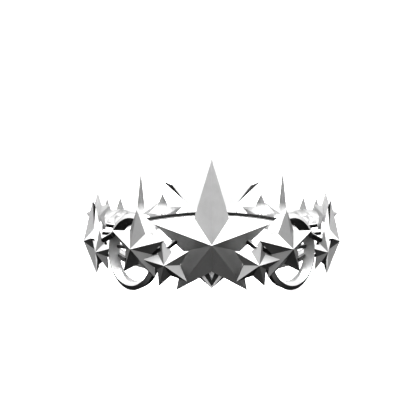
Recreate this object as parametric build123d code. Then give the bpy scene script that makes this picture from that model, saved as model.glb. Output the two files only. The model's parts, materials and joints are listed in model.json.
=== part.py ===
from build123d import *
from math import atan2, cos, degrees, hypot, radians, sin
import os

# Crown of faceted metal stars standing off a ridged head band.
# Millimetres.  +Z is up, the wearer looks along -Y, the band's axis is the Z axis,
# and z = 0 is the plane the crown stands on (the lower tips of the two side stars).
# Directions round the band are degrees from the front (-Y) towards -X.

os.makedirs("parts", exist_ok=True)

# ---- head band -------------------------------------------------------------
BAND_INNER_R = 75.0          # the head passes through this circle
BAND_SHEET = 1.2             # sheet thickness
BAND_BOTTOM_Z = 16.2
BAND_LIP_TOP_Z = 19.0        # plain cylindrical lip below the ridge
BAND_RIDGE_Z = 21.6
BAND_TOP_Z = 24.4
BAND_RIDGE_OUT = 2.3         # how far the ridge stands out from the lip

# ---- splice at the back of the band ----------------------------------------
SPLICE_HALF_ANGLE = 7.0
SPLICE_SHEET = 0.9
SPLICE_MARGIN = 0.2
RIVET_R = 0.8
RIVET_HEAD_H = 0.55

# ---- stars: tip radius, top tip radius, front apex height ------------------
INNER_RATIO = 0.49           # valley radius over tip radius
BACK_DEPTH_RATIO = 0.062     # flat back behind the tip plane, over tip radius
BACK_TIP_RATIO = 0.80        # the flat back stops short of the tips
MIN_BACK_DEPTH = 1.3

FRONT_CENTRE = dict(tip=42.8, top=59.0, apex=12.0)
FRONT_SMALL = dict(tip=18.8, top=19.1, apex=6.9)
HOOPED = dict(tip=26.2, top=27.0, apex=8.8)
SIDE_SMALL = dict(tip=15.8, top=15.8, apex=5.0)
SIDE_LARGE = dict(tip=26.6, top=31.6, apex=10.5)
REAR_CENTRE = dict(tip=41.0, top=41.0, apex=12.0)
REAR_SMALL = dict(tip=18.0, top=18.0, apex=6.5, back_apex=1.4)
REAR_TALL = dict(tip=20.0, top=35.0, apex=6.0, back_apex=1.4, inner_ratio=0.31)
REAR_SIDE = dict(tip=17.5, top=19.0, apex=6.0, back_apex=1.4)
REAR_NARROW = dict(tip=14.0, top=16.0, apex=5.0, back_apex=1.2)
REAR_LOW = dict(tip=13.0, top=15.5, apex=4.6, back_apex=1.2)

SIDE_LARGE_LEAN = 5.0
SIDE_LARGE_Z = SIDE_LARGE["tip"] * cos(radians(36)) * cos(radians(SIDE_LARGE_LEAN))

# ---- hoop behind each hooped star ------------------------------------------
HOOP_RIDGE_R = 24.3
HOOP_INNER_R = 21.1
HOOP_OUTER_R = 27.5
HOOP_BACK_R = 26.0
HOOP_DEPTH = 7.4             # ridge to back edge
HOOP_OUTER_DEPTH = 1.9       # ridge to outer edge
HOOP_DIRECTION = 44.3
HOOP_CENTRE_R = 83.8         # hoop centre from the band's axis
HOOP_TURN = 5.0              # the hoop faces a little further back than its place
HOOP_LEAN = -8.0
HOOP_Z = 28.9
HOOP_MEAN_R = 24.0           # where the posts meet the back

# ---- posts -----------------------------------------------------------------
POST_R = 1.8
POST_ROOT_R = BAND_INNER_R + BAND_SHEET * 0.5
PIN_R = 1.6
POST_Z = 19.6
HIGH_POST_Z = 21.4

# ---- pointed drop under the front star -------------------------------------
DROP_Y = -79.6               # front of the drop's rim, before its ridge
DROP_BACK = 2.2
DROP_RIDGE_H = 1.2
DROP_TIP_Z = 7.4
DROP_SIDE_X = 10.9
DROP_SIDE_Z = 17.2
DROP_RIDGE_X = 7.9           # half width of the ridge's V, at the height of the sides
DROP_INNER_X = 5.5           # and of the opening
DROP_RIDGE_RISE = 0.4        # ridge's tip above the outer tip
DROP_INNER_RISE = 1.5
PLATE_TOP_Z = 19.5
PLATE_SHEET = 1.2
KITE_TOP_Z = 20.6
KITE_HALF_W = 2.0
KITE_SIDE_Z = 18.4
KITE_TIP_Z = 13.2
KITE_APEX_Z = 15.0
KITE_APEX_H = 1.5


def closed_solid(triangles):
    """Solid bounded by flat triangles and polygons."""
    faces = [Face(Wire.make_polygon([Vector(*p) for p in t], close=True)) for t in triangles]
    return Solid(Shell(faces))


def star_points(outer, top, inner, y):
    """Ten outline points, starting at the top tip and going round to the viewer's left."""
    points = []
    for i in range(10):
        angle = radians(90 + 36 * i)
        radius = inner if i % 2 else outer
        if i == 0:
            radius = top
        points.append((radius * cos(angle), y, radius * sin(angle)))
    return points


def star(tip, top, apex):
    """Five pointed star facing -Y: ridged pyramid in front, flat back bevelled at the tips."""
    inner = tip * INNER_RATIO
    depth = max(tip * BACK_DEPTH_RATIO, MIN_BACK_DEPTH)
    rim = star_points(tip, top, inner, 0.0)
    back = star_points(tip * BACK_TIP_RATIO, top * BACK_TIP_RATIO, inner, depth)
    peak = (0.0, -apex, 0.0)
    faces = [list(back)]
    for i in range(10):
        j = (i + 1) % 10
        faces.append([rim[i], rim[j], peak])
        faces.append([rim[i], rim[j], back[j]])
        faces.append([rim[i], back[j], back[i]])
    return closed_solid(faces)


def ridged_star(tip, top, apex, back_apex, inner_ratio=INNER_RATIO):
    """Five pointed star ridged on both sides: apex in front, back_apex behind."""
    rim = star_points(tip, top, tip * inner_ratio, 0.0)
    faces = []
    for i in range(10):
        j = (i + 1) % 10
        faces.append([rim[i], rim[j], (0.0, -apex, 0.0)])
        faces.append([rim[i], rim[j], (0.0, back_apex, 0.0)])
    return closed_solid(faces)


def placed(shape, direction, radius, z, turn=0.0, lean=0.0, roll=0.0):
    """Stand a shape that faces -Y at a direction round the band, facing outwards."""
    a = radians(direction)
    spot = Pos(-radius * sin(a), -radius * cos(a), z)
    return spot * Rot(0, 0, -(direction + turn)) * Rot(lean, 0, 0) * Rot(0, -roll, 0) * shape


def ring(profile):
    """Turn an (r, z) profile round the Z axis."""
    face = Face(Wire.make_polygon([Vector(r, 0, z) for r, z in profile], close=True))
    return revolve(face, Axis.Z).solid()


def band():
    out = BAND_SHEET
    inner = [
        (BAND_INNER_R, BAND_BOTTOM_Z),
        (BAND_INNER_R, BAND_LIP_TOP_Z),
        (BAND_INNER_R + BAND_RIDGE_OUT, BAND_RIDGE_Z),
        (BAND_INNER_R, BAND_TOP_Z),
    ]
    outer = [(r + out, z) for r, z in reversed(inner)]
    return ring(inner + outer)


def hoop():
    """Ridged hoop facing -Y: sharp front ridge, sloping inner face, bevelled outer face."""
    profile = [
        (HOOP_RIDGE_R, 0.0),
        (HOOP_OUTER_R, -HOOP_OUTER_DEPTH),
        (HOOP_BACK_R, -HOOP_DEPTH),
        (HOOP_INNER_R, -HOOP_DEPTH),
    ]
    return Rot(90, 0, 0) * ring(profile)


def radial_rod(x, y, z, tip_radius, radius=POST_R):
    """Round rod at height z from inside the band's sheet out to tip_radius, through (x, y)."""
    length = tip_radius - POST_ROOT_R
    direction = degrees(atan2(-x, -y))
    rod = Cylinder(radius, length, rotation=(90, 0, 0))
    return placed(rod, direction, POST_ROOT_R + length / 2, z)


def largest(shape):
    """Largest piece left after a cut."""
    return max(shape.solids(), key=lambda s: s.volume)


def outermost(shape):
    """Piece furthest from the band's axis after a cut."""
    return max(shape.solids(), key=lambda s: hypot(s.center().X, s.center().Y))


def post_to(piece, x, y, z, carrier=None):
    """Post out to the back of a piece, trimmed to it and to the carrier it stands on."""
    rod = radial_rod(x, y, z, hypot(x, y)) - band_solid - piece
    if carrier is not None:
        rod = rod - carrier
    return outermost(rod)


def mirrored(shape):
    return shape.mirror(Plane.YZ)


parts = {}


def add_pair(name, left):
    parts[name + "_left"] = left
    parts[name + "_right"] = mirrored(left)


def add_group_pair(name, left_solids):
    parts[name + "_left"] = Compound(children=left_solids)
    parts[name + "_right"] = Compound(children=[mirrored(solid) for solid in left_solids])


# ---- band and its splice ---------------------------------------------------
band_solid = band()
parts["head_band"] = band_solid

lip_outer = BAND_INNER_R + BAND_SHEET
splice_bottom = BAND_BOTTOM_Z + SPLICE_MARGIN
splice_top = BAND_LIP_TOP_Z - SPLICE_MARGIN
splice_ring = ring([
    (lip_outer, splice_bottom),
    (lip_outer + SPLICE_SHEET, splice_bottom),
    (lip_outer + SPLICE_SHEET, splice_top),
    (lip_outer, splice_top),
])
half_chord = lip_outer * sin(radians(SPLICE_HALF_ANGLE))
splice_window = Pos(0, lip_outer, BAND_LIP_TOP_Z) * Box(2 * half_chord, 12, 12)
parts["splice_plate"] = (splice_ring & splice_window).solid()

rivet_z = (splice_bottom + splice_top) / 2
rivet_heads = []
for direction in (176.0, 184.0):
    head = Cylinder(RIVET_R, RIVET_HEAD_H + 0.4, rotation=(90, 0, 0))
    head = placed(head, direction, lip_outer + SPLICE_SHEET + RIVET_HEAD_H / 2 - 0.2, rivet_z)
    rivet_heads.append(largest(head - splice_ring))
parts["splice_rivets"] = Compound(children=rivet_heads)

# ---- stars of the front half -----------------------------------------------
centre_star = placed(star(**FRONT_CENTRE), 0, 80.0, 41.4, lean=-4.0)
parts["star_front_centre"] = centre_star

small_star = placed(star(**FRONT_SMALL), 19.9, 91.0, 27.6, roll=15.0, lean=-1.0)

hooped_star = placed(star(**HOOPED), 35.9, 88.6, 36.2, turn=3.5, lean=1.6, roll=1.0)
front_hoop = placed(hoop(), HOOP_DIRECTION, HOOP_CENTRE_R, HOOP_Z, turn=HOOP_TURN, lean=HOOP_LEAN)

side_small_star = placed(star(**SIDE_SMALL), 66.0, 88.0, 22.9, turn=-3.0, lean=5.0, roll=2.0)
side_large_star = placed(
    star(**SIDE_LARGE), 90.0, 86.0, SIDE_LARGE_Z, turn=5.0, lean=SIDE_LARGE_LEAN)

# ---- stars of the rear half ------------------------------------------------
rear_centre_star = placed(star(**REAR_CENTRE), 180, 80.0, 36.0, lean=-4.0)
parts["star_rear_centre"] = rear_centre_star

rear_small_star = placed(ridged_star(**REAR_SMALL), 155.2, 93.6, 19.0)
rear_tall_star = placed(ridged_star(**REAR_TALL), 140.0, 86.3, 25.5)
rear_low_star = placed(ridged_star(**REAR_LOW), 130.0, 93.4, 25.0, turn=16.0)
rear_narrow_star = placed(ridged_star(**REAR_NARROW), 119.6, 93.0, 27.3, turn=16.0)
rear_side_star = placed(ridged_star(**REAR_SIDE), 107.0, 90.5, 34.0, turn=14.0)

# ---- pieces seated in one another ------------------------------------------
front_hoop = largest(front_hoop - hooped_star - small_star - band_solid)
hooped_star = largest(hooped_star - small_star)
rear_small_star = largest(rear_small_star - rear_centre_star)
rear_tall_star = largest(rear_tall_star - rear_small_star - rear_low_star)
small_star = largest(small_star - centre_star)
side_small_star = largest(side_small_star - side_large_star)
rear_side_star = largest(rear_side_star - side_large_star)
rear_narrow_star = largest(rear_narrow_star - rear_side_star)
rear_low_star = largest(rear_low_star - rear_narrow_star)

for name, piece in [
    ("star_front_small", small_star),
    ("star_front_hooped", hooped_star),
    ("hoop", front_hoop),
    ("star_side_small", side_small_star),
    ("star_side_large", side_large_star),
    ("star_rear_side", rear_side_star),
    ("star_rear_narrow", rear_narrow_star),
    ("star_rear_low", rear_low_star),
    ("star_rear_tall", rear_tall_star),
    ("star_rear_small", rear_small_star),
]:
    add_pair(name, piece)


# ---- posts between the band and the pieces it carries ----------------------
def around(direction, radius):
    a = radians(direction)
    return -radius * sin(a), -radius * cos(a)


def hoop_spots(z):
    """Two spots on the hoop's back, either side, where it passes height z."""
    half = (HOOP_MEAN_R ** 2 - (z - HOOP_Z) ** 2) ** 0.5
    cx, cy = around(HOOP_DIRECTION, HOOP_CENTRE_R)
    a = radians(HOOP_DIRECTION + HOOP_TURN)
    back = HOOP_DEPTH * 0.6
    spots = []
    for side in (-half, half):
        spots.append((cx + side * cos(a) + back * sin(a), cy - side * sin(a) + back * cos(a)))
    return spots


for name, piece, direction, radius, z, carrier in [
    ("post_front_centre", centre_star, 10.0, 80.0, POST_Z, None),
    ("post_front_small", small_star, 19.9, 91.0, HIGH_POST_Z, None),
    ("post_side_small", side_small_star, 66.0, 88.0, POST_Z, None),
    ("post_side_large", side_large_star, 90.0, 86.0, POST_Z, None),
    ("post_rear_side", rear_side_star, 105.0, 89.5, HIGH_POST_Z, None),
    ("post_rear_narrow", rear_narrow_star, 119.6, 93.0, HIGH_POST_Z, None),
    ("post_rear_low", rear_low_star, 130.0, 93.4, POST_Z, rear_tall_star),
    ("post_rear_tall", rear_tall_star, 140.0, 86.3, POST_Z, None),
    ("post_rear_small", rear_small_star, 155.2, 93.6, POST_Z, rear_tall_star),
    ("post_rear_centre", rear_centre_star, 170.5, 80.0, POST_Z, None),
]:
    x, y = around(direction, radius)
    add_pair(name, post_to(piece, x, y, z, carrier))

hoop_posts = []
for x, y in hoop_spots(POST_Z):
    rod = radial_rod(x, y, POST_Z, hypot(x, y)) - band_solid - front_hoop - hooped_star
    hoop_posts.append(largest(rod))
add_group_pair("posts_hoop", hoop_posts)


# ---- links between neighbouring pieces -------------------------------------
def link(start, end, radius, ends):
    """Round rod between two points, trimmed to the pieces it joins."""
    a = Vector(*start)
    b = Vector(*end)
    rod = Plane(origin=a, z_dir=b - a) * Cylinder(
        radius, (b - a).length, align=(Align.CENTER, Align.CENTER, Align.MIN))
    for piece in ends:
        rod = rod - piece
    return largest(rod)


# two long pins from the rear side of the hoop to the back of the star in front of it
hoop_pins = []
for start, end in [
    ((-67.6, -39.0, 27.5), (-59.0, -64.7, 33.5)),
    ((-66.8, -40.0, 20.8), (-60.3, -67.0, 25.2)),
]:
    hoop_pins.append(link(start, end, PIN_R, [band_solid, front_hoop, hooped_star] + hoop_posts))
add_group_pair("pins_hoop", hoop_pins)

for name, start, end, radius, ends in [
    ("link_side", (-79.0, -37.4, 31.5), (-71.5, -43.0, 37.0), 2.0, [side_small_star, front_hoop]),
    ("link_hoop", (-41.5, -77.4, 33.0), (-35.4, -84.6, 37.8), 1.6, [front_hoop, small_star, hooped_star]),
    ("link_centre", (-31.6, -84.7, 38.4), (-24.6, -79.2, 42.6), 1.9, [small_star, centre_star]),
]:
    add_pair(name, link(start, end, radius, ends))


# ---- pointed drop under the front star -------------------------------------
def drop_outline(half_width, rise, y):
    """V outline open at the top: half width at the sides, and tip raised above the outer tip."""
    return [
        (-half_width, y, DROP_SIDE_Z),
        (0.0, y, DROP_TIP_Z + rise),
        (half_width, y, DROP_SIDE_Z),
    ]


def drop_rim():
    """V frame, wide at its ends and narrow at its tip, with a sharp ridge in front."""
    back_y = DROP_Y + DROP_BACK
    loop = [
        drop_outline(DROP_SIDE_X, 0.0, DROP_Y),
        drop_outline(DROP_RIDGE_X, DROP_RIDGE_RISE, DROP_Y - DROP_RIDGE_H),
        drop_outline(DROP_INNER_X, DROP_INNER_RISE, DROP_Y),
        drop_outline(DROP_INNER_X, DROP_INNER_RISE, back_y),
        drop_outline(DROP_SIDE_X, 0.0, back_y),
    ]
    faces = [[row[0] for row in loop], [row[2] for row in loop]]
    for row, following in zip(loop, loop[1:] + loop[:1]):
        for i in range(2):
            faces.append([row[i], row[i + 1], following[i]])
            faces.append([row[i + 1], following[i + 1], following[i]])
    return closed_solid(faces)


def drop_plate():
    """Plate that fills the V's opening."""
    low = DROP_TIP_Z + DROP_INNER_RISE
    half_top = DROP_INNER_X * (PLATE_TOP_Z - low) / (DROP_SIDE_Z - low)
    outline = [(0.0, low), (half_top, PLATE_TOP_Z), (-half_top, PLATE_TOP_Z)]
    face = Face(Wire.make_polygon([Vector(x, DROP_Y + DROP_BACK, z) for x, z in outline], close=True))
    return extrude(face, PLATE_SHEET, dir=(0, -1, 0)).solid()


def drop_kite():
    """Kite shaped boss: four facets meeting in front, flat back on the plate."""
    back_y = DROP_Y + DROP_BACK - PLATE_SHEET
    outline = [
        (0.0, back_y, KITE_TOP_Z),
        (-KITE_HALF_W, back_y, KITE_SIDE_Z),
        (0.0, back_y, KITE_TIP_Z),
        (KITE_HALF_W, back_y, KITE_SIDE_Z),
    ]
    peak = (0.0, back_y - KITE_APEX_H, KITE_APEX_Z)
    faces = [outline]
    for i in range(4):
        faces.append([outline[i], outline[(i + 1) % 4], peak])
    return closed_solid(faces)


plate = largest(drop_plate() - centre_star - band_solid)
kite = largest(drop_kite() - centre_star - plate)
rim = largest(drop_rim() - centre_star - plate - kite - band_solid)
parts["drop_rim"] = rim
parts["drop_plate"] = plate
parts["drop_kite"] = kite
drop_back_y = DROP_Y + DROP_BACK
hanger = radial_rod(0.0, drop_back_y, 17.6, -drop_back_y, 1.2) - band_solid - plate - centre_star
parts["drop_hanger"] = largest(hanger)

for name, shape in parts.items():
    export_step(shape, "parts/" + name + ".step")
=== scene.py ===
import json
import math

import bpy
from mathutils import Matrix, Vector


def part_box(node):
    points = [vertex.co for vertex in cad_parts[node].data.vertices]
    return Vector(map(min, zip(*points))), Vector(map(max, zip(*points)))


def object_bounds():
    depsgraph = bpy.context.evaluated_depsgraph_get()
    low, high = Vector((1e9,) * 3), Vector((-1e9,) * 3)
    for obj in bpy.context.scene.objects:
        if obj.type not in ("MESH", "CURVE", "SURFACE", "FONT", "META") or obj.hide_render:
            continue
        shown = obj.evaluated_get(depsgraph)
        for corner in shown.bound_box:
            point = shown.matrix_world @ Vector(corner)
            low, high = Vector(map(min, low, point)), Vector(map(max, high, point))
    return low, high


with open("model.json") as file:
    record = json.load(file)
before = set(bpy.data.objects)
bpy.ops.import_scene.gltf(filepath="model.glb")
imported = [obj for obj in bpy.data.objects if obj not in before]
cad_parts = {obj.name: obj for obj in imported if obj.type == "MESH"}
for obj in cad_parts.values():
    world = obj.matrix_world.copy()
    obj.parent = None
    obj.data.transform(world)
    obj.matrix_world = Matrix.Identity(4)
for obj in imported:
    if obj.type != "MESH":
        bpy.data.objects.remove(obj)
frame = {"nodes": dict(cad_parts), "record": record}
cad_lo, cad_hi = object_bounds()
nodes = frame["nodes"]
scene = bpy.context.scene
scene.view_settings.view_transform = "Standard"


# ---- node helpers ------------------------------------------------------------
def maths(tree, operation, first, second):
    """One operation on two values; each is a number or another node's output."""
    node = tree.nodes.new("ShaderNodeMath")
    node.operation = operation
    for socket, value in zip(node.inputs, (first, second)):
        if isinstance(value, float):
            socket.default_value = value
        else:
            tree.links.new(value, socket)
    return node.outputs["Value"]


def spread(tree, value, low, high, to_low, to_high):
    """Stretch a value from low..high to to_low..to_high, held at both ends."""
    node = tree.nodes.new("ShaderNodeMapRange")
    for key, number in (("From Min", low), ("From Max", high), ("To Min", to_low), ("To Max", to_high)):
        node.inputs[key].default_value = number
    tree.links.new(value, node.inputs["Value"])
    return node.outputs["Result"]


def set_stops(ramp, stops):
    """Give a colour ramp its grey stops, as (place, level) pairs."""
    elements = ramp.color_ramp.elements
    while len(elements) < len(stops):
        elements.new(0.5)
    for element, (place, level) in zip(elements, stops):
        element.position = place
        element.color = (level, level, level, 1.0)


def tone_ramp(tree, value, tones):
    """Grey tone by a value from -1 to 1, given as (value, tone) pairs."""
    ramp = tree.nodes.new("ShaderNodeValToRGB")
    set_stops(ramp, [((number + 1.0) / 2.0, tone) for number, tone in tones])
    tree.links.new(spread(tree, value, -1.0, 1.0, 0.0, 1.0), ramp.inputs["Fac"])
    return ramp.outputs["Color"]


def blend(tree, factor, first, second):
    """Go from the first tone to the second by a factor."""
    node = tree.nodes.new("ShaderNodeMix")
    node.data_type = "RGBA"
    tree.links.new(factor, node.inputs["Factor"])
    tree.links.new(first, node.inputs["A"])
    tree.links.new(second, node.inputs["B"])
    return node.outputs["Result"]


def darken(tree, tone, factor):
    """Multiply a tone by a factor."""
    node = tree.nodes.new("ShaderNodeMix")
    node.data_type = "RGBA"
    node.blend_type = "MULTIPLY"
    node.inputs["Factor"].default_value = 1.0
    tree.links.new(tone, node.inputs["A"])
    tree.links.new(factor, node.inputs["B"])
    return node.outputs["Result"]


def noise(tree, vector, scale, detail, roughness=0.5):
    """Cloudy value about 0.5; a larger scale makes smaller clouds."""
    node = tree.nodes.new("ShaderNodeTexNoise")
    node.inputs["Scale"].default_value = scale
    node.inputs["Detail"].default_value = detail
    node.inputs["Roughness"].default_value = roughness
    tree.links.new(vector, node.inputs["Vector"])
    return node.outputs["Fac"]


def split(tree, vector):
    """The X, Y and Z of a vector."""
    node = tree.nodes.new("ShaderNodeSeparateXYZ")
    tree.links.new(vector, node.inputs["Vector"])
    return node.outputs


# ---- tones -------------------------------------------------------------------
# (how far a facet looks up, its tone): painted shade on the undersides, painted light on the upper sides
STAR_TONE = [
    (-1.0, 0.02), (-0.60, 0.05), (-0.50, 0.13), (-0.34, 0.20), (-0.22, 0.26), (0.05, 0.44),
    (0.22, 0.40), (0.40, 0.46), (0.46, 0.50), (0.52, 0.92), (1.0, 0.95),
]
FRONT_TONE = [
    (-1.0, 0.02), (-0.60, 0.34), (-0.46, 0.50), (-0.34, 0.27), (-0.22, 0.23), (0.08, 0.23),
    (0.18, 0.25), (0.21, 0.62), (0.40, 0.70), (0.50, 0.92), (1.0, 0.95),
]
SMALL_TONE = [
    (-1.0, 0.02), (-0.60, 0.06), (-0.46, 0.20), (-0.34, 0.26), (-0.22, 0.30), (0.10, 0.50),
    (0.28, 0.78), (0.34, 0.70), (0.42, 0.36), (0.46, 0.40), (0.52, 0.92), (1.0, 0.95),
]
HOOPED_TONE = [
    (-1.0, 0.02), (-0.60, 0.08), (-0.54, 0.11), (-0.40, 0.16), (-0.22, 0.26), (0.10, 0.50),
    (0.24, 0.42), (0.44, 0.46), (0.54, 0.92), (1.0, 0.95),
]
HOOP_TONE = [
    (-1.0, 0.004), (-0.65, 0.006), (-0.45, 0.02), (-0.30, 0.10), (-0.04, 0.36), (0.34, 0.80),
    (0.52, 0.94), (1.0, 0.95),
]
SIDE_TONE = [
    (-1.0, 0.02), (-0.60, 0.08), (-0.46, 0.18), (-0.34, 0.24), (-0.22, 0.36), (0.05, 0.84),
    (0.25, 0.94), (0.40, 0.94), (0.52, 0.94), (1.0, 0.95),
]
# band and rivets: painted shade by facet direction, the upward top kept dark as a shaded line
BAND_TONE = [
    (-1.0, 0.01), (-0.40, 0.02), (-0.15, 0.25), (0.05, 0.55), (0.30, 0.80), (0.45, 0.94), (0.86, 0.90),
    (0.96, 0.10), (1.0, 0.07),
]
# posts: painted shade, near black unless they look up, their tops dark too
POST_TONE = [(-1.0, 0.004), (0.55, 0.008), (0.75, 0.50), (0.86, 0.80), (0.96, 0.14), (1.0, 0.12)]
DROP_TONE = [(-1.0, 0.02), (-0.50, 0.07), (-0.25, 0.12), (0.00, 0.70), (0.10, 0.97), (1.0, 0.97)]
# drop plate: painted shade, near black unless it looks up
PLATE_TONE = [(-1.0, 0.04), (0.40, 0.07), (0.80, 0.50), (1.0, 0.90)]
KITE_TONE = [(-1.0, 0.80), (-0.30, 0.95), (0.30, 0.96), (1.0, 0.96)]
# sides turned to the head: painted light, brighter than the rest
INNER_TONE = [(-1.0, 0.02), (-0.36, 0.02), (-0.22, 0.90), (1.0, 0.95)]
BRIGHT_TONE = [(-1.0, 0.90), (-0.40, 0.92), (1.0, 0.95)]
# flanks of the side stars that look across the head: painted shade, dark unless they look up
FLANK_TONE = [(-1.0, 0.008), (0.38, 0.008), (0.48, 0.92), (1.0, 0.95)]


# ---- metal -------------------------------------------------------------------
CLOUD_SCALE = 140.0          # clouds of about 7 mm
GRAIN_SCALE = 2600.0         # grain of about 0.4 mm
GRAIN = 0.12                 # spread of the roughness
GRAIN_HEIGHT = 0.00006
CREASE_REACH = 0.006         # how far from a crease the painted shade and patina reach, in metres
STEEP = (0.82, 0.88)         # from and to, how squarely a facet looks sideways, for the painted shade
FLANK = (-0.45, -0.60)       # from and to, how far a flank looks across the head, for the painted shade


def outwardness(tree, normal, place):
    """How far a facet looks away from the head's axis: 1 straight out, -1 straight at it."""
    along_x = maths(tree, "MULTIPLY", normal["X"], place["X"])
    along_y = maths(tree, "MULTIPLY", normal["Y"], place["Y"])
    across_x = maths(tree, "MULTIPLY", place["X"], place["X"])
    across_y = maths(tree, "MULTIPLY", place["Y"], place["Y"])
    radius = maths(tree, "SQRT", maths(tree, "ADD", across_x, across_y), 0.0)
    return maths(tree, "DIVIDE", maths(tree, "ADD", along_x, along_y), radius)


def metal(name, tone_stops, level=0.98, metallic=0.5, roughness=0.45, inner_stops=INNER_TONE,
          polish=(-0.80, -0.92), flank_stops=None, steep=1.0, tip=None, rise=None, mottle=0.05, patina=0.35):
    """Satin silver: painted shade below and painted light above, cloudy tone, fine grain in roughness and
    bump, creases darkened by painted shade and patina.

    level, mottle: brightness, and how much the clouds change it.
    patina: how much darker the creases are, by painted shade and patina.
    polish: how squarely a side must look at the head to get the painted light (from, full).
    flank_stops: tone of the sides that look partly at the head, a painted shade.
    steep: tone left on the outer facets that look straight sideways, a painted shade.
    rise: (z, tone, z, tone), painted shade changing with height.
    tip: the same painted shade by height, kept to the sides turned to the head.
    """
    mat = bpy.data.materials.new(name)
    mat.use_nodes = True
    tree = mat.node_tree
    tree.nodes.clear()
    out = tree.nodes.new("ShaderNodeOutputMaterial")
    shader = tree.nodes.new("ShaderNodeBsdfPrincipled")
    shader.inputs["Metallic"].default_value = metallic
    shader.inputs["Specular IOR Level"].default_value = 0.15
    coord = tree.nodes.new("ShaderNodeTexCoord")
    normal = split(tree, coord.outputs["Normal"])
    place = split(tree, coord.outputs["Object"])
    outward = outwardness(tree, normal, place)
    painted_light_mask = spread(tree, outward, polish[0], polish[1], 0.0, 1.0)

    # painted light and shade by how far the facet looks up
    tone = tone_ramp(tree, normal["Z"], tone_stops)
    # painted shade on outer facets that look straight sideways
    if steep < 1.0:
        sideways = maths(tree, "ABSOLUTE", normal["X"], 0.0)
        tone = darken(tree, tone, spread(tree, sideways, STEEP[0], STEEP[1], 1.0, steep))
    # painted shade on flanks that look partly across the head
    if flank_stops is not None:
        flank_tone = tone_ramp(tree, normal["Z"], flank_stops)
        tone = blend(tree, spread(tree, outward, FLANK[0], FLANK[1], 0.0, 1.0), tone, flank_tone)
    # painted light on the sides turned to the head
    tone = blend(tree, painted_light_mask, tone, tone_ramp(tree, normal["Z"], inner_stops))

    cloud = noise(tree, coord.outputs["Object"], CLOUD_SCALE, 6.0, 0.6)
    clouds = spread(tree, cloud, 0.3, 0.7, level - mottle, level + mottle)
    # creases darkened: painted shade and patina
    crease = tree.nodes.new("ShaderNodeAmbientOcclusion")
    crease.samples = 6
    crease.inputs["Distance"].default_value = CREASE_REACH
    crease_shade_and_patina = spread(tree, crease.outputs["AO"], 0.15, 0.85, 1.0 - patina, 1.0)
    mottle_patina_and_shade = maths(tree, "MULTIPLY", clouds, crease_shade_and_patina)
    # painted shade changing with height
    if rise is not None:
        mottle_patina_and_shade = maths(tree, "MULTIPLY", mottle_patina_and_shade, spread(tree, place["Z"], rise[0], rise[2], rise[1], rise[3]))
    # painted shade changing with height near the raised tips, on the sides turned to the head
    if tip is not None:
        tip_tone = spread(tree, place["Z"], tip[0], tip[2], tip[1], tip[3])
        tip_shade = maths(tree, "MULTIPLY", maths(tree, "SUBTRACT", tip_tone, 1.0), painted_light_mask)
        mottle_patina_and_shade = maths(tree, "MULTIPLY", mottle_patina_and_shade, maths(tree, "ADD", tip_shade, 1.0))
    tree.links.new(darken(tree, tone, mottle_patina_and_shade), shader.inputs["Base Color"])

    fine = noise(tree, coord.outputs["Object"], GRAIN_SCALE, 3.0)
    rough = spread(tree, fine, 0.3, 0.7, roughness - GRAIN / 2, roughness + GRAIN / 2)
    tree.links.new(rough, shader.inputs["Roughness"])
    bump = tree.nodes.new("ShaderNodeBump")
    bump.inputs["Strength"].default_value = 0.12
    bump.inputs["Distance"].default_value = GRAIN_HEIGHT
    tree.links.new(fine, bump.inputs["Height"])
    tree.links.new(bump.outputs["Normal"], shader.inputs["Normal"])
    tree.links.new(shader.outputs["BSDF"], out.inputs["Surface"])
    return mat


def tip_finish(name, start, start_tone, full, full_tone):
    """Small rear stars: painted light on the sides turned to the head, with painted shade changing between
    two depths (metres) below the raised tip.
    """
    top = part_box(name)[1].z
    return metal(name + " silver", STAR_TONE, inner_stops=BRIGHT_TONE, polish=(0.10, -0.20),
                 tip=(top - start, start_tone, top - full, full_tone))


# by material slot
finishes = {
    "star_metal": metal("star satin silver", STAR_TONE, steep=0.5),
    # hoop: painted shade, darker higher up
    "hoop_metal": metal("hoop satin silver", HOOP_TONE, level=0.96, roughness=0.42,
                        rise=(0.014, 1.0, 0.040, 0.6)),
    "band_metal": metal("band rolled silver", BAND_TONE, level=0.95, roughness=0.40),
    "post_metal": metal("post drawn rod", POST_TONE, level=0.95, roughness=0.42),
    "rivet_metal": metal("rivet peened", BAND_TONE, level=0.80, metallic=0.6),
    "drop_metal": metal("drop satin silver", DROP_TONE, metallic=0.05, mottle=0.02, patina=0.0),
}

# by piece, for those that differ from their slot: copies of the silver with their own painted light and
# shade
own_finish = {
    "star_front_centre": metal("front star silver", FRONT_TONE),
    "star_front_small": metal("front small star silver", SMALL_TONE, steep=0.42),
    "star_front_hooped": metal("hooped star silver", HOOPED_TONE, steep=0.70),
    "star_side_large": metal("side star silver", SIDE_TONE, flank_stops=FLANK_TONE),
    "star_rear_centre": metal("rear star silver", STAR_TONE, level=0.99, metallic=0.4,
                              polish=(-0.15, -0.35), mottle=0.03, patina=0.2),
    "star_rear_side": tip_finish("star_rear_side_left", 0.030, 0.20, 0.010, 0.50),
    "star_rear_narrow": tip_finish("star_rear_narrow_left", 0.017, 1.0, 0.010, 0.32),
    "star_rear_low": tip_finish("star_rear_low_left", 0.017, 1.0, 0.010, 0.26),
    "star_rear_tall": tip_finish("star_rear_tall_left", 0.036, 1.0, 0.026, 0.24),
    "star_rear_small": tip_finish("star_rear_small_left", 0.0115, 1.0, 0.0075, 0.26),
    "drop_plate": metal("drop plate dark", PLATE_TONE, level=0.95),
    "drop_kite": metal("drop kite silver", KITE_TONE, metallic=0.1, patina=0.0),
}

# softened edges: the least angle, and the width in metres
EDGE_ANGLE = math.radians(18)
EDGE = {"star_metal": 0.00012, "hoop_metal": 0.0003, "band_metal": 0.00025, "drop_metal": 0.00015}
slot_of = {piece["node"]: piece["material_slot"] for piece in frame["record"]["subparts"]}

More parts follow.
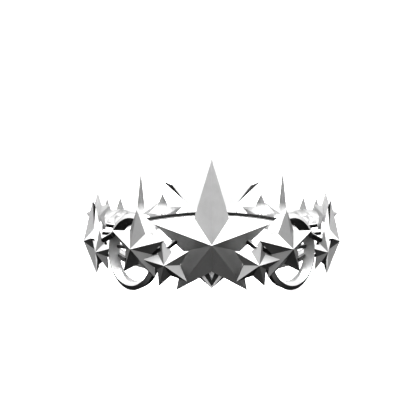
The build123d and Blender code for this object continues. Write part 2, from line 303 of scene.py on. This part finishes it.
for name, obj in nodes.items():
    slot = slot_of[name]
    obj.data.materials.clear()
    family = name.replace("_left", "").replace("_right", "")
    obj.data.materials.append(own_finish.get(family, finishes[slot]))
    if slot in EDGE:
        edge = obj.modifiers.new("soft edges", "BEVEL")
        edge.width = EDGE[slot]
        edge.segments = 2
        edge.limit_method = "ANGLE"
        edge.angle_limit = EDGE_ANGLE
        edge.harden_normals = False


# ---- floor, light, camera ----------------------------------------------------
FLOOR_REACH = 12.0
FLOOR_GAP = 0.0005
CAMERA_ELEVATION = math.radians(15.0)
CAMERA_DISTANCE = 1.3
CAMERA_LENS = 148.6
PIVOT_SHARE = 0.219          # of the crown's height, the point the camera stands round
TARGET_SHARE = 0.447         # and the point it looks at
TARGET_X = -0.0013
# light of the room from straight down (0) through level (0.5) to straight up (1)
SKY = [(0.0, 0.03), (0.35, 0.05), (0.48, 0.30), (0.60, 0.60), (0.80, 1.1), (1.0, 1.5)]

height = cad_hi.z - cad_lo.z

corners = [(-1, -1), (1, -1), (1, 1), (-1, 1)]
floor_mesh = bpy.data.meshes.new("floor")
floor_mesh.from_pydata([(x * FLOOR_REACH, y * FLOOR_REACH, 0.0) for x, y in corners], [], [(0, 1, 2, 3)])
floor = bpy.data.objects.new("floor", floor_mesh)
scene.collection.objects.link(floor)
floor.location.z = cad_lo.z - FLOOR_GAP
floor.visible_diffuse = False
floor.visible_glossy = False
white = bpy.data.materials.new("floor white")
white.use_nodes = True
bsdf = white.node_tree.nodes["Principled BSDF"]
bsdf.inputs["Base Color"].default_value = (0.95, 0.95, 0.95, 1.0)
bsdf.inputs["Roughness"].default_value = 0.9
bsdf.inputs["Emission Color"].default_value = (1.0, 1.0, 1.0, 1.0)
bsdf.inputs["Emission Strength"].default_value = 0.9
floor_mesh.materials.append(white)

world = bpy.data.worlds.new("studio")
scene.world = world
world.use_nodes = True
sky = world.node_tree
sky.nodes.clear()
sky_out = sky.nodes.new("ShaderNodeOutputWorld")
sky_light = sky.nodes.new("ShaderNodeBackground")
sky_light.inputs["Strength"].default_value = 1.0
sky_coord = sky.nodes.new("ShaderNodeTexCoord")
sky_ramp = sky.nodes.new("ShaderNodeValToRGB")
set_stops(sky_ramp, SKY)
upward = split(sky, sky_coord.outputs["Generated"])["Z"]
sky.links.new(spread(sky, upward, -1.0, 1.0, 0.0, 1.0), sky_ramp.inputs["Fac"])
sky.links.new(sky_ramp.outputs["Color"], sky_light.inputs["Color"])
sky.links.new(sky_light.outputs["Background"], sky_out.inputs["Surface"])


def softbox(name, place, aim, size, power):
    """Round soft lamp turned to a point."""
    data = bpy.data.lights.new(name, "AREA")
    data.shape = "DISK"
    data.size = size
    data.energy = power
    lamp = bpy.data.objects.new(name, data)
    scene.collection.objects.link(lamp)
    lamp.location = place
    lamp.rotation_mode = "QUATERNION"
    lamp.rotation_quaternion = (Vector(aim) - Vector(place)).to_track_quat("-Z", "Y")
    return lamp


softbox("overhead", (0.0, 0.0, 0.90), (0.0, 0.0, 0.03), 0.35, 9.0)
softbox("inner fill", (0.0, -0.03, 0.28), (0.0, 0.03, 0.03), 0.08, 2.2)

camera_data = bpy.data.cameras.new("camera")
camera = bpy.data.objects.new("camera", camera_data)
scene.collection.objects.link(camera)
scene.camera = camera
camera_data.lens = CAMERA_LENS
camera_data.sensor_width = 36.0
camera_data.clip_start = 0.05
camera_data.clip_end = 60.0
pivot = Vector((0.0, 0.0, cad_lo.z + PIVOT_SHARE * height))
target = Vector((TARGET_X, 0.0, cad_lo.z + TARGET_SHARE * height))
towards = Vector((0.0, -math.cos(CAMERA_ELEVATION), math.sin(CAMERA_ELEVATION)))
camera.location = pivot + towards * CAMERA_DISTANCE
camera.rotation_mode = "QUATERNION"
camera.rotation_quaternion = (target - camera.location).to_track_quat("-Z", "Y")
